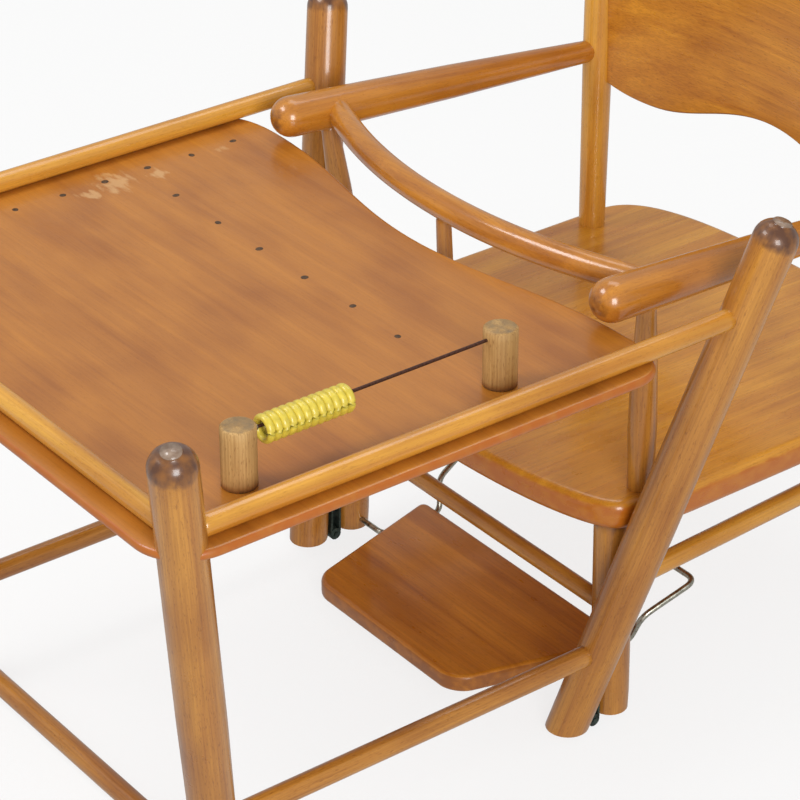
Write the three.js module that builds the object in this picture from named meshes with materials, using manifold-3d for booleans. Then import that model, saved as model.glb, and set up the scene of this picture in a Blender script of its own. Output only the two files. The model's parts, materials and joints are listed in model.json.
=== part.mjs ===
// A child's wooden chair with a play table hinged to its front legs at floor level.
// As shown the table stands in front of the chair; swung half a turn under it, the table frame
// becomes the tall legs of a high chair. Millimetres, +Z up, -Y the table side, +X the child's left.
import * as THREE from "three";
import { mergeVertices } from "three/addons/utils/BufferGeometryUtils.js";
import Module from "manifold-3d";

// ---- Driving dimensions ----
const gap = 0.3; // left between pieces that touch
const socketFit = 0.3; // all round a tenon in its socket
const tenonDepth = 9; // how far a tenon goes into the piece that holds it
const rodDepth = 6; // how far a rail or stretcher goes into a leg
const seatCore = 5; // wood left in the seat between tenons from above and from below

const frameHeight = 415; // table legs, floor to the top of the dome
const frameFloorHalfWidth = 156; // leg centre to the middle plane, at the floor
const frameTopHalfWidth = 247; // the same at the top
const frameFloorDepth = 297; // hinge-side legs to front posts, at the floor
const hingeLegLean = 92; // how far the top leans towards the chair
const frontPostLean = 82; // how far the top leans away from the chair
const tableLegWaistRadius = 16;
const tableLegFootTaper = 1.2; // feet thinner than the waist, so that the hinge leaves stay on them
const tableLegTopRadius = 15.4;
const tableLegWaistHeight = 187;
const legDomeHeight = 14;

const legAboveBoard = 75.5; // leg tops above the tray board
const boardThickness = 7;
const boardSideLedge = 16; // board outside the rails' centres
const boardFrontLedge = 19.4;
const boardCornerRadius = 38;
const boardHornY = 6; // chair-side edge beside the arms
const boardHornWidth = 52; // length of that edge
const boardHornRound = 32; // its rounding into the sides
const boardHollowY = -19; // chair-side edge at the middle
const railRadius = 7.25;
const lowRailRadius = 7.6;
const lowRailHeight = 73;
const lowFrontRailHeight = 15;
const battenWidth = 20;
const battenThickness = 12;
const battenInset = 31; // side battens inside the side rails
const battenFrontInset = 50; // side battens' ends from the board's edges
const battenChairInset = 20;
const crossBattenY = -113;

const pegInset = 35; // pegs inside the side rail
const pegFrontInset = 65.6; // first peg behind the front rail
const pegSpacing = 200;
const pegRadius = 11.3;
const pegAboveWire = 6;
const pegTenonRadius = 5.5;
const pegChamfer = 1.6;
const abacusWireRadius = 1.2;
const abacusWireHeight = 35; // above the board
const abacusWireDepth = 7.3; // how far each end goes into its peg
const beadCount = 12;
const beadRadius = 10.35;
const beadHoleRadius = 4.6;
const beadThickness = 5.1;
const beadFirstGap = 5; // from the front peg to the first bead

const hingeKnuckleRadius = 5;
const hingeFloorGap = 0.2; // under the knuckles
const hingePinRadius = 1.6;
const hingePinFit = 0.3;
const hingePinEnd = 1; // pin beyond the knuckles
const hingeWidth = 16;
const hingeLeafLength = 24;
const hingeLeafThickness = 1.8;
const crossingClearance = 0.7; // between the leaning pairs of hinged legs where they pass

const seatTop = 188;
const seatThickness = 23;
const seatHalfWidth = 187;
const seatFrontEdge = -5;
const seatBackEdge = 377;
const seatBackRound = 62; // length of the rounding at the rear corners
const seatEdgeRound = 5;
const seatLegClearance = 0.5; // between the seat and the table legs beside it
const chairLegRadius = 14;
const frontLegInset = 23; // leg centres from the seat's sides
const rearLegInset = 57;
const rearLegTopY = 305;
const legTenonRadius = 9;
const frontStretcherHeight = 88;
const frontStretcherRadius = 6.6;
const sideStretcherHeight = 105;
const sideStretcherRadius = 7.6;
const rearStretcherHeight = 78;

const armTipY = 8;
const armTipRadius = 15.3;
const armTipClearance = 2.2; // the arm tips stand this far over the tray board
const armFall = 19; // rear end of an arm below its tip
const armMiddleRadius = 12.8;
const armBackRadius = 8.6;
const armTenonRadius = 5;
const armTipLength = 50; // full-thickness length behind the tip
const armPostInset = 13; // post centres from the seat's sides
const armPostSplay = 17; // how far an arm post leans outwards
const armPostSeatY = 56;
const armPostArmY = 40;
const armPostSeatRadius = 10.2;
const armPostArmRadius = 6.6;
const armPostTenonRadius = 4.4;

const bowEndY = 46;
const bowFrontY = 9;
const bowHalfHeight = 10.2;
const bowHalfDepth = 9.4;
const crotchPostSeatY = 17;
const crotchPostTopRadius = 5.4;
const crotchPostSeatRadius = 7;
const crotchTenonLength = 7;

const backPostInset = 20; // post centres from the seat's sides
const backPostSplay = 7; // how far a back post leans outwards
const backPostSeatY = 294;
const backPostLean = 6; // and backwards
const backPostTop = 520;
const backPostSeatRadius = 10.5;
const backPostArmRadius = 11.7;
const backPostTopRadius = 11.2;
const panelThickness = 6;
const panelBend = 27; // how far the middle of the backrest lies behind its ends
const panelTopDrop = 14; // top edge at the middle, below the posts' tops
const panelShoulderDrop = 32; // top edge at the posts
const panelArchDrop = 193; // lower edge at the middle
const panelEndDrop = 201; // lower edge at the posts
const panelLobeDrop = 216.5; // lowest points of the lower edge
const panelLobeInset = 50; // those points from the panel's ends
const panelHousing = 4; // depth of the groove in each back post

const footrestTop = 24;
const footrestThickness = 14;
const footrestFrontY = -46;
const footrestRearY = 88;
const footrestLegRoom = 20; // between the footrest and the chair legs
const footrestTaper = 35; // how much narrower each side is at the front
const footrestFrontCorner = 16;
const footrestRearCorner = 7;
const footrestEdgeRound = 2;
const footWireRadius = 2.3;
const footWireHeight = 14;
const footWireArmInset = 9; // wire arms inside the footrest's rear corners
const footWireSplay = 17; // wire bar's ends outside the arms
const footWireBarReach = 58; // wire bar behind the footrest
const footWireBarZ = 57;
const footWireKneeZ = 38;
const footWireBendRadius = 9;

const paint = {
  beech: { color: 0xb98046, roughness: 0.4, metalness: 0 },
  paleBeech: { color: 0xcf9850, roughness: 0.35, metalness: 0 },
  board: { color: 0xb87c40, roughness: 0.35, metalness: 0 },
  peg: { color: 0xaa966e, roughness: 0.8, metalness: 0 },
  bead: { color: 0xd9c94a, roughness: 0.35, metalness: 0 },
  darkWire: { color: 0x4a3028, roughness: 0.5, metalness: 0.8 },
  brightWire: { color: 0xb9b9ad, roughness: 0.25, metalness: 1 },
  blackIron: { color: 0x3c4440, roughness: 0.6, metalness: 0.8 },
};

const v = (x, y, z) => new THREE.Vector3(x, y, z);
const sides = [
  ["left", 1],
  ["right", -1],
];

// The point of the line a-b at height z.
function atHeight(a, b, z) {
  return a.clone().lerp(b, (z - a.z) / (b.z - a.z));
}

// ---- Places worked out from the driving dimensions ----
// Heights.
const boardTop = frameHeight - legAboveBoard;
const boardBottom = boardTop - boardThickness;
const railHeight = boardTop + gap + railRadius;
const seatBottom = seatTop - seatThickness;
const seatTenonDepth = (seatThickness - seatCore) / 2;
const hingePinHeight = hingeKnuckleRadius + hingeFloorGap;
const hingeEndHeight = hingePinHeight + gap; // the four hinged leg ends stop just above the pins
const armTipZ = boardTop + armTipClearance + armTipRadius;
const armBackZ = armTipZ - armFall;

// The axis of a table leg, floor to top.
function tableLegLine(side, front) {
  const floorY = front ? -frameFloorDepth : 0;
  const topY = front ? floorY - frontPostLean : hingeLegLean;
  return [v(side * frameFloorHalfWidth, floorY, 0), v(side * frameTopHalfWidth, topY, frameHeight)];
}

const tableLegFloorRadius = tableLegWaistRadius - tableLegFootTaper;

// The tray.
const railCorner = atHeight(...tableLegLine(1, true), railHeight);
const boardHalfWidth = railCorner.x + boardSideLedge;
const boardFrontEdge = railCorner.y - boardFrontLedge;
const sideBattenX = railCorner.x - battenInset;
const pegX = railCorner.x - pegInset;
const pegFrontY = railCorner.y + pegFrontInset;
const wireZ = boardTop + abacusWireHeight;

// The seat is drawn in beside the table legs.
const legBesideSeat = atHeight(...tableLegLine(1, false), seatBottom);
const seatNeckHalfWidth = Math.min(seatHalfWidth, legBesideSeat.x - tableLegWaistRadius - seatLegClearance);
const frontLegTopHalfWidth = seatNeckHalfWidth - frontLegInset;
const rearLegTopHalfWidth = seatHalfWidth - rearLegInset;
const armPostSeatX = seatNeckHalfWidth - armPostInset;
const armTipX = armPostSeatX + armPostSplay;
const backPostSeatX = seatHalfWidth - backPostInset;

// The hinged legs lean past each other, so their axes come nearer than they are at the floor.
function crossingShare() {
  const tableLean = v(frameTopHalfWidth - frameFloorHalfWidth, hingeLegLean, frameHeight);
  const chairLean = v(frontLegTopHalfWidth - frameFloorHalfWidth, 0, seatBottom);
  const across = tableLean.cross(chairLean);
  return Math.abs(across.y) / across.length();
}
const crossingRoom = (tableLegWaistRadius + chairLegRadius + crossingClearance) / crossingShare();
// The chair's hinge leaf stands clear of the table leg that leans over it.
const leanOverLeaf = (hingeLegLean * (hingePinHeight + hingeLeafLength)) / frameHeight;
const leafRoom = 2 * (tableLegWaistRadius + leanOverLeaf + 2 * gap + hingeLeafThickness - hingeKnuckleRadius);
const chairFrontLegY = Math.max(crossingRoom, leafRoom);
const hingeAxisY = chairFrontLegY / 2;
const rearLegFloorY = chairFrontLegY + frameFloorDepth; // lands on a front post when the frame is under the chair

// The footrest.
const footrestBottom = footrestTop - footrestThickness;
const footrestRearHalfWidth = frameFloorHalfWidth - chairLegRadius - footrestLegRoom;
const footWireArmX = footrestRearHalfWidth - footWireArmInset;

const chair = new THREE.Group();

function piece(name, geometry, finish) {
  const mesh = new THREE.Mesh(geometry, new THREE.MeshStandardMaterial(finish));
  mesh.name = name;
  return mesh;
}

function add(...meshes) {
  chair.add(...meshes);
  return meshes[0];
}

// ---- Cutting and joining ----
const wasm = await Module();
wasm.setup();

// The solid of a mesh, in the frame that `view` leads to.
function solidOf(mesh, view) {
  mesh.updateMatrix();
  const geometry = mesh.geometry.clone().applyMatrix4(mesh.matrix).applyMatrix4(view);
  geometry.deleteAttribute("normal");
  geometry.deleteAttribute("uv");
  const merged = mergeVertices(geometry, 1e-4);
  return new wasm.Manifold(
    new wasm.Mesh({
      numProp: 3,
      vertProperties: merged.attributes.position.array,
      triVerts: new Uint32Array(merged.index.array),
    }),
  );
}

function reshape(mesh, others, combine) {
  mesh.updateMatrix();
  const view = mesh.matrix.clone().invert();
  const identity = new THREE.Matrix4();
  let solid = solidOf(new THREE.Mesh(mesh.geometry), identity);
  for (const other of others) solid = solid[combine](solidOf(other, view));
  const result = solid.getMesh();
  const geometry = new THREE.BufferGeometry();
  geometry.setAttribute("position", new THREE.BufferAttribute(result.vertProperties, 3));
  geometry.setIndex(new THREE.BufferAttribute(result.triVerts, 1));
  mesh.geometry = geometry.toNonIndexed();
  mesh.geometry.computeVertexNormals();
  return mesh;
}
const cut = (mesh, ...tools) => reshape(mesh, tools, "subtract");
const join = (mesh, ...others) => reshape(mesh, others, "add");
const keepCommon = (mesh, ...others) => reshape(mesh, others, "intersect");

// ---- Turned pieces ----
const up = new THREE.Vector3(0, 1, 0);
const socketMouth = 2; // sockets are cut from this far outside

// A turned piece from `start` towards `end`; stations are [distance from start, radius].
function turned(name, start, end, stations, finish, sides = 14) {
  const points = stations.map(([along, radius]) => new THREE.Vector2(radius, along));
  points.unshift(new THREE.Vector2(0, stations[0][0]));
  const last = stations.at(-1);
  if (last[1] > 0) points.push(new THREE.Vector2(0, last[0]));
  const mesh = piece(name, new THREE.LatheGeometry(points, sides), finish);
  mesh.position.copy(start);
  mesh.quaternion.setFromUnitVectors(up, end.clone().sub(start).normalize());
  return mesh;
}

// A prism that stands for a tenon's socket: from `from`, `depth` deep along `towards`. Its flats
// clear the tenon all round.
function socket(from, towards, depth, radius) {
  const corners = 10;
  const cornerRadius = (radius + socketFit) / Math.cos(Math.PI / corners);
  const stations = [
    [-socketMouth, cornerRadius],
    [depth + socketFit, cornerRadius],
  ];
  return turned("socket", from, towards, stations, paint.beech, corners);
}

// A round rod between two leg axes, whose ends go rodDepth past each leg's surface.
function rod(name, start, end, radius, holderRadius, finish) {
  const length = start.distanceTo(end);
  const first = holderRadius - rodDepth;
  const stations = [
    [first, radius],
    [length - first, radius],
  ];
  const mesh = turned(name, start, end, stations, finish, 12);
  const mouth = holderRadius + 8; // well outside the slanted leg's surface
  mesh.userData.sockets = [
    socket(start.clone().lerp(end, mouth / length), start, mouth - first, radius),
    socket(end.clone().lerp(start, mouth / length), end, mouth - first, radius),
  ];
  return mesh;
}

function extruded(name, shape, low, high, finish, bevel = 0) {
  const geometry = new THREE.ExtrudeGeometry(shape, {
    depth: high - low - 2 * bevel,
    bevelEnabled: bevel > 0,
    bevelThickness: bevel,
    bevelSize: bevel,
    bevelOffset: -bevel,
    bevelSegments: 2,
    curveSegments: 7,
  });
  const mesh = piece(name, geometry, finish);
  mesh.position.z = low + bevel;
  return mesh;
}

// A closed outline, the same on both sides of x = 0. `half` goes from the middle of one edge round to
// the middle of the other: a point, then straight stretches [x, y] and curves [ax, ay, bx, by, x, y].
function evenOutline(half) {
  const outline = new THREE.Shape();
  outline.moveTo(...half[0]);
  for (const stretch of half.slice(1)) {
    if (stretch.length === 2) outline.lineTo(...stretch);
    else outline.bezierCurveTo(...stretch);
  }
  for (let i = half.length - 1; i > 0; i -= 1) {
    const [x, y] = half[i - 1].slice(-2);
    const [ax, ay, bx, by] = half[i];
    if (half[i].length === 2) outline.lineTo(-x, y);
    else outline.bezierCurveTo(-bx, by, -ax, ay, -x, y);
  }
  return outline;
}

function block(name, size, centre, finish) {
  const mesh = piece(name, new THREE.BoxGeometry(...size), finish);
  mesh.position.copy(centre);
  return mesh;
}

// Everything below height z near the floor, for trimming a slanted leg flat.
function floorTrim(z) {
  return block("trim", [900, 1200, 60], v(0, 0, z - 30), paint.beech);
}

// ---- Table frame ----
function tableLeg(name, side, front) {
  const [floor, top] = tableLegLine(side, front);
  const length = floor.distanceTo(top);
  const dome = [0.36, 0.64, 0.83, 0.95, 1]; // share of the dome's height, rising
  const stations = [
    [-8, tableLegFloorRadius],
    [tableLegWaistHeight, tableLegWaistRadius],
    [length - legDomeHeight, tableLegTopRadius],
  ];
  for (const share of dome) {
    stations.push([length - legDomeHeight * (1 - share), tableLegTopRadius * Math.sqrt(1 - share * share)]);
  }
  const mesh = turned(name, floor, top, stations, paint.beech, 16);
  return cut(mesh, floorTrim(front ? 0 : hingeEndHeight));
}

function tableLegRadiusAt(z) {
  const [low, high, from, to] =
    z < tableLegWaistHeight
      ? [0, tableLegWaistHeight, tableLegFloorRadius, tableLegWaistRadius]
      : [tableLegWaistHeight, frameHeight, tableLegWaistRadius, tableLegTopRadius];
  return from + ((to - from) * (z - low)) / (high - low);
}

const tableLegs = {};
for (const [label, side] of sides) {
  tableLegs["post_" + label] = add(tableLeg("table_front_post_" + label, side, true));
  tableLegs["leg_" + label] = add(tableLeg("table_hinge_leg_" + label, side, false));
}

function tableRod(name, from, to, z, radius, finish) {
  const start = atHeight(...tableLegLine(...from), z);
  const end = atHeight(...tableLegLine(...to), z);
  const holder = tableLegRadiusAt(z);
  return add(rod(name, start, end, radius, holder, finish));
}

const topFrontRail = tableRod("tray_rail_front", [1, true], [-1, true], railHeight, railRadius, paint.paleBeech);
const lowFrontRail = tableRod(
  "table_stretcher_front",
  [1, true],
  [-1, true],
  lowFrontRailHeight,
  lowRailRadius,
  paint.beech,
);
for (const [label, side] of sides) {
  const ends = [
    [side, true],
    [side, false],
  ];
  const rail = tableRod("tray_rail_" + label, ...ends, railHeight, railRadius, paint.paleBeech);
  const low = tableRod("table_stretcher_" + label, ...ends, lowRailHeight, lowRailRadius, paint.beech);
  const nearEnd = side > 0 ? 0 : 1;
  cut(
    tableLegs["post_" + label],
    rail.userData.sockets[0],
    low.userData.sockets[0],
    topFrontRail.userData.sockets[nearEnd],
    lowFrontRail.userData.sockets[nearEnd],
  );
  cut(tableLegs["leg_" + label], rail.userData.sockets[1], low.userData.sockets[1]);
}

// ---- Tray board ----
const arcPull = 0.448; // where a curve's handles sit to draw a quarter circle

function boardOutline() {
  const w = boardHalfWidth;
  const front = boardFrontEdge;
  const r = boardCornerRadius;
  const pull = r * arcPull;
  const horn = w - boardHornWidth;
  return evenOutline([
    [0, front],
    [w - r, front],
    [w - pull, front, w, front + pull, w, front + r],
    [w, boardHornY - boardHornRound],
    [w, boardHornY - boardHornRound / 4, w - boardHornWidth * arcPull, boardHornY, horn, boardHornY],
    [horn * 0.6, boardHornY, horn * 0.36, boardHollowY, 0, boardHollowY],
  ]);
}

const board = add(extruded("tray_board", boardOutline(), boardBottom, boardTop, paint.board));
for (const [, side] of sides) {
  const [floor, top] = tableLegLine(side, true);
  const below = atHeight(floor, top, boardBottom - tableLegWaistRadius);
  cut(board, socket(below, top, boardThickness + 3 * tableLegWaistRadius, tableLegRadiusAt(boardTop) + gap));
}

function batten(name, x, y, width, depth) {
  const z = boardBottom - gap - battenThickness / 2;
  return add(block(name, [width, depth, battenThickness], v(x, y, z), paint.beech));
}
batten("tray_batten_cross", 0, crossBattenY, 2 * sideBattenX - battenWidth - 2 * gap, battenWidth);
const battenFrontEnd = boardFrontEdge + battenFrontInset;
const battenChairEnd = boardHornY - battenChairInset;
for (const [label, side] of sides) {
  const middle = (battenChairEnd + battenFrontEnd) / 2;
  batten("tray_batten_" + label, side * sideBattenX, middle, battenWidth, battenChairEnd - battenFrontEnd);
}

// ---- Bead rail on the tray ----
// Each peg's tenon goes only part of the way through the board and clears the batten under it.
const pegBackY = pegFrontY + pegSpacing;
const pegHeight = abacusWireHeight + pegAboveWire;
const pegTenonLength = boardThickness - 1;
const wireEnd = pegRadius + gap - abacusWireDepth * 0.6; // the wire's ends from the pegs' axes
const wireStations = [
  [0, abacusWireRadius],
  [pegSpacing - 2 * wireEnd, abacusWireRadius],
];
const wireStart = v(pegX, pegFrontY + wireEnd, wireZ);
add(turned("bead_wire", wireStart, v(pegX, pegBackY, wireZ), wireStations, paint.darkWire, 6));

for (const [label, y, inward] of [
  ["front", pegFrontY, 1],
  ["rear", pegBackY, -1],
]) {
  const base = boardTop + gap;
  const stations = [
    [-pegTenonLength, pegTenonRadius],
    [0, pegTenonRadius],
    [0, pegRadius],
    [pegHeight - pegChamfer, pegRadius],
    [pegHeight, pegRadius - pegChamfer],
  ];
  const peg = turned("bead_peg_" + label, v(pegX, y, base), v(pegX, y, base + 1), stations, paint.peg, 16);
  const mouth = v(pegX, y + inward * pegRadius, wireZ);
  cut(add(peg), socket(mouth, v(pegX, y, wireZ), pegRadius - wireEnd, abacusWireRadius));
  cut(board, socket(v(pegX, y, boardTop), v(pegX, y, 0), boardThickness + socketMouth, pegTenonRadius));
}

function beadGeometry() {
  const half = beadThickness / 2;
  const middle = (beadRadius + beadHoleRadius) / 2;
  const reach = (beadRadius - beadHoleRadius) / 2;
  const corners = 6;
  const ring = [];
  for (let i = 0; i <= corners; i += 1) {
    const angle = (-2 * Math.PI * i) / corners;
    const squareness = 0.72; // a superellipse: flatter faces than a plain torus
    const c = Math.cos(angle);
    const s = Math.sin(angle);
    const x = middle + reach * Math.sign(c) * Math.abs(c) ** squareness;
    ring.push(new THREE.Vector2(x, -half * Math.sign(s) * Math.abs(s) ** squareness));
  }
  return new THREE.LatheGeometry(ring, 14);
}

const beadZ = wireZ - (beadHoleRadius - abacusWireRadius - gap);
for (let i = 0; i < beadCount; i += 1) {
  const bead = piece("bead_" + String(i + 1).padStart(2, "0"), beadGeometry(), paint.bead);
  const start = pegFrontY + pegRadius + beadFirstGap + beadThickness / 2;
  bead.position.set(pegX, start + i * (beadThickness + gap), beadZ);
  add(bead);
}

// ---- Seat ----
function seatOutline() {
  const w = seatHalfWidth;
  const neck = seatNeckHalfWidth;
  const legY = legBesideSeat.y;
  const shoulderY = legY + 2 * tableLegWaistRadius + 19;
  return evenOutline([
    [0, seatFrontEdge],
    [neck / 2, seatFrontEdge, neck - 1, seatFrontEdge + 17, neck, legY],
    [neck + 1, legY + 16, w, legY + tableLegWaistRadius + 7, w, shoulderY],
    [w, seatBackEdge - seatBackRound],
    [w, seatBackEdge - seatBackRound / 5, w * 0.64, seatBackEdge, 0, seatBackEdge],
  ]);
}
const seat = add(extruded("seat", seatOutline(), seatBottom, seatTop, paint.board, seatEdgeRound));

// ---- Chair legs and stretchers ----
function chairLegLine(side, front) {
  if (front) {
    const floor = v(side * frameFloorHalfWidth, chairFrontLegY, 0);
    return [floor, v(side * frontLegTopHalfWidth, chairFrontLegY, seatBottom)];
  }
  return [v(side * frameFloorHalfWidth, rearLegFloorY, 0), v(side * rearLegTopHalfWidth, rearLegTopY, seatBottom)];
}

const chairLegs = {};
for (const [label, side] of sides) {
  for (const front of [true, false]) {
    const [floor, top] = chairLegLine(side, front);
    const length = floor.distanceTo(top);
    const shoulderRadius = chairLegRadius - 2;
    const slant = Math.hypot(top.x - floor.x, top.y - floor.y) / seatBottom;
    const shoulder = length - 2 * gap - shoulderRadius * slant; // a leaning shoulder stays under the seat
    const stations = [
      [-8, chairLegRadius - 1],
      [20, chairLegRadius],
      [shoulder - 12, chairLegRadius],
      [shoulder, shoulderRadius],
      [shoulder, legTenonRadius],
      [length + seatTenonDepth, legTenonRadius],
    ];
    const name = front ? "chair_front_leg_" : "chair_rear_leg_";
    const leg = add(turned(name + label, floor, top, stations, paint.beech, 14));
    cut(leg, floorTrim(front ? hingeEndHeight : 0));
    const mouth = atHeight(floor, top, seatBottom - 5);
    cut(seat, socket(mouth, top, mouth.distanceTo(top) + seatTenonDepth, legTenonRadius));
    chairLegs[(front ? "front_" : "rear_") + label] = leg;
  }
}

function chairRod(name, from, to, z, radius, finish) {
  const start = atHeight(...chairLegLine(...from), z);
  const end = atHeight(...chairLegLine(...to), z);
  return add(rod(name, start, end, radius, chairLegRadius, finish));
}
const frontStretcher = chairRod(
  "chair_stretcher_front",
  [1, true],
  [-1, true],
  frontStretcherHeight,
  frontStretcherRadius,
  paint.beech,
);
const rearStretcher = chairRod(
  "chair_stretcher_rear",
  [1, false],
  [-1, false],
  rearStretcherHeight,
  frontStretcherRadius,
  paint.beech,
);
for (const [label, side] of sides) {
  const stretcher = chairRod(
    "chair_stretcher_" + label,
    [side, true],
    [side, false],
    sideStretcherHeight,
    sideStretcherRadius,
    paint.paleBeech,
  );
  const nearEnd = side > 0 ? 0 : 1;
  cut(chairLegs["front_" + label], stretcher.userData.sockets[0], frontStretcher.userData.sockets[nearEnd]);
  cut(chairLegs["rear_" + label], stretcher.userData.sockets[1], rearStretcher.userData.sockets[nearEnd]);
}

// ---- Arms, arm posts, back posts ----
function armLine(side) {
  const tip = v(side * armTipX, armTipY, armTipZ);
  const back = atHeight(...backPostLine(side), armBackZ);
  return [tip, back];
}

function backPostLine(side) {
  const top = v(side * (backPostSeatX + backPostSplay), backPostSeatY + backPostLean, backPostTop);
  return [v(side * backPostSeatX, backPostSeatY, seatTop), top];
}

// The point on an arm's axis at distance y from the front.
function onArm(side, y) {
  const [tip, back] = armLine(side);
  return tip.clone().lerp(back, (y - tip.y) / (back.y - tip.y));
}

const backTenonRadius = backPostSeatRadius - 2.5;
const armPostFootTenonRadius = armPostSeatRadius - 3.5;

const arms = {};
const backPosts = {};
for (const [label, side] of sides) {
  const [tip, back] = armLine(side);
  const length = tip.distanceTo(back);
  const shoulder = length - backPostArmRadius - gap - 0.6;
  const domed = [1, 0.93, 0.78, 0.5, 0.2].map((share) => [
    -armTipRadius * share,
    armTipRadius * Math.sqrt(1 - share * share),
  ]);
  const stations = [
    ...domed.slice(1),
    [0, armTipRadius],
    [armTipLength, armTipRadius - 0.6],
    [length * 0.5, armMiddleRadius],
    [shoulder, armBackRadius],
    [shoulder, armTenonRadius],
    [length - backPostArmRadius + tenonDepth - 1, armTenonRadius],
  ];
  stations.unshift([-armTipRadius, 0]);
  arms[label] = add(turned("arm_" + label, tip, back, stations, paint.beech, 16));

  const [seatEnd, top] = backPostLine(side);
  const postLength = seatEnd.distanceTo(top);
  const postStations = [
    [-seatTenonDepth, backTenonRadius],
    [gap, backTenonRadius],
    [gap, backPostSeatRadius],
    [postLength * 0.45, backPostArmRadius],
    [postLength - 9, backPostTopRadius],
    [postLength - 4, backPostTopRadius * 0.85],
    [postLength - 1, backPostTopRadius * 0.45],
    [postLength, 0],
  ];
  const post = add(turned("back_post_" + label, seatEnd, top, postStations, paint.beech, 14));
  backPosts[label] = post;
  const mouth = tip.clone().lerp(back, (length - backPostArmRadius - 3) / length);
  cut(post, socket(mouth, back, tenonDepth + 2, armTenonRadius));
  const below = seatEnd.clone().lerp(top, -0.1);
  cut(seat, socket(seatEnd, below, seatTenonDepth, backTenonRadius));
}

for (const [label, side] of sides) {
  const foot = v(side * armPostSeatX, armPostSeatY, seatTop);
  const head = onArm(side, armPostArmY);
  const armRadius = armTipRadius - 0.5;
  const length = foot.distanceTo(head);
  const shoulder = length - armRadius - gap;
  const stations = [
    [-seatTenonDepth, armPostFootTenonRadius],
    [gap + 1, armPostFootTenonRadius],
    [gap + 1, armPostSeatRadius - 1],
    [length * 0.3, armPostSeatRadius],
    [length * 0.62, armPostSeatRadius - 1.2],
    [shoulder - 1, armPostArmRadius],
    [shoulder - 1, armPostTenonRadius],
    [shoulder + tenonDepth, armPostTenonRadius],
  ];
  add(turned("arm_post_" + label, foot, head, stations, paint.beech, 12));
  cut(seat, socket(foot, foot.clone().lerp(head, -0.2), seatTenonDepth, armPostFootTenonRadius));
  const mouth = foot.clone().lerp(head, (shoulder - 4) / length);
  cut(arms[label], socket(mouth, head, tenonDepth + 4, armPostTenonRadius));
}

// ---- Guard bow and crotch post ----
function bowCurve() {
  const end = onArm(1, bowEndY);
  const reach = end.x - armTipRadius + tenonDepth - 1;
  const rise = bowEndY - bowFrontY;
  const radius = (reach * reach + rise * rise) / (2 * rise);
  const halfAngle = Math.asin(reach / radius);
  const points = [];
  const count = 12;
  for (let i = 0; i <= count; i += 1) {
    const angle = halfAngle * ((2 * i) / count - 1);
    points.push(v(radius * Math.sin(angle), bowFrontY + radius * (1 - Math.cos(angle)), end.z));
  }
  return new THREE.CatmullRomCurve3(points);
}

function tubeAlong(name, curve, halfAcross, halfUp, steps, corners, finish) {
  const section = new THREE.Shape();
  for (let i = 0; i < corners; i += 1) {
    const angle = (2 * Math.PI * i) / corners;
    const place = [halfAcross * Math.cos(angle), halfUp * Math.sin(angle)];
    if (i === 0) section.moveTo(...place);
    else section.lineTo(...place);
  }
  section.closePath();
  const geometry = new THREE.ExtrudeGeometry(section, { steps, bevelEnabled: false, extrudePath: curve });
  return piece(name, geometry, finish);
}

const bow = add(tubeAlong("guard_bow", bowCurve(), bowHalfHeight, bowHalfDepth, 20, 12, paint.beech));
const bowSocket = tubeAlong(
  "socket",
  bowCurve(),
  bowHalfHeight + socketFit,
  bowHalfDepth + socketFit,
  20,
  12,
  paint.beech,
);
const bowEndRoom = armPostTenonRadius + socketFit; // keeps the bow's ends clear of the arm posts' tenons
for (const [label, side] of sides) {
  const end = onArm(side, bowEndY);
  const stop = end.x - side * (bowEndRoom + 4);
  const trimX = stop + side * 40;
  cut(bow, block("trim", [80, 200, 60], v(trimX, bowEndY, end.z), paint.beech));
  cut(arms[label], bowSocket);
}

const crotchFoot = v(0, crotchPostSeatY, seatTop);
const crotchHead = v(0, bowFrontY, onArm(1, bowEndY).z);
const crotchLength = crotchFoot.distanceTo(crotchHead);
const crotchShoulder = crotchLength - bowHalfHeight - gap - 0.5;
const crotchTenonRadius = crotchPostTopRadius - 1.8;
const crotchFootTenonRadius = crotchPostSeatRadius - 2;
const crotchStations = [
  [-seatTenonDepth, crotchFootTenonRadius],
  [gap + 0.5, crotchFootTenonRadius],
  [gap + 0.5, crotchPostSeatRadius],
  [crotchShoulder, crotchPostTopRadius],
  [crotchShoulder, crotchTenonRadius],
  [crotchShoulder + crotchTenonLength, crotchTenonRadius],
];
add(turned("crotch_post", crotchFoot, crotchHead, crotchStations, paint.beech, 12));
cut(seat, socket(crotchFoot, crotchFoot.clone().lerp(crotchHead, -0.2), seatTenonDepth, crotchFootTenonRadius));
const bowMouth = crotchFoot.clone().lerp(crotchHead, (crotchShoulder - 4) / crotchLength);
cut(bow, socket(bowMouth, crotchHead, crotchTenonLength + 4, crotchTenonRadius));

// ---- Bent plywood backrest ----
const panelReach = atHeight(...backPostLine(1), armBackZ).x - backPostArmRadius + panelHousing;
const panelMiddleZ = backPostTop - (panelEndDrop + panelShoulderDrop) / 2;
const panelY = atHeight(...backPostLine(1), panelMiddleZ).y;

function panelBand(name, extra) {
  const reach = panelReach + extra;
  const radius = (panelReach ** 2 + panelBend ** 2) / (2 * panelBend);
  const halfAngle = Math.asin(reach / radius);
  const centreY = panelY + panelBend - radius;
  const outer = radius + panelThickness / 2 + extra;
  const inner = radius - panelThickness / 2 - extra;
  const band = new THREE.Shape();
  band.absarc(0, centreY, outer, Math.PI / 2 - halfAngle, Math.PI / 2 + halfAngle, false);
  band.absarc(0, centreY, inner, Math.PI / 2 + halfAngle, Math.PI / 2 - halfAngle, true);
  return extruded(name, band, backPostTop - panelLobeDrop - 5, backPostTop - panelTopDrop + 5, paint.board);
}

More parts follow.
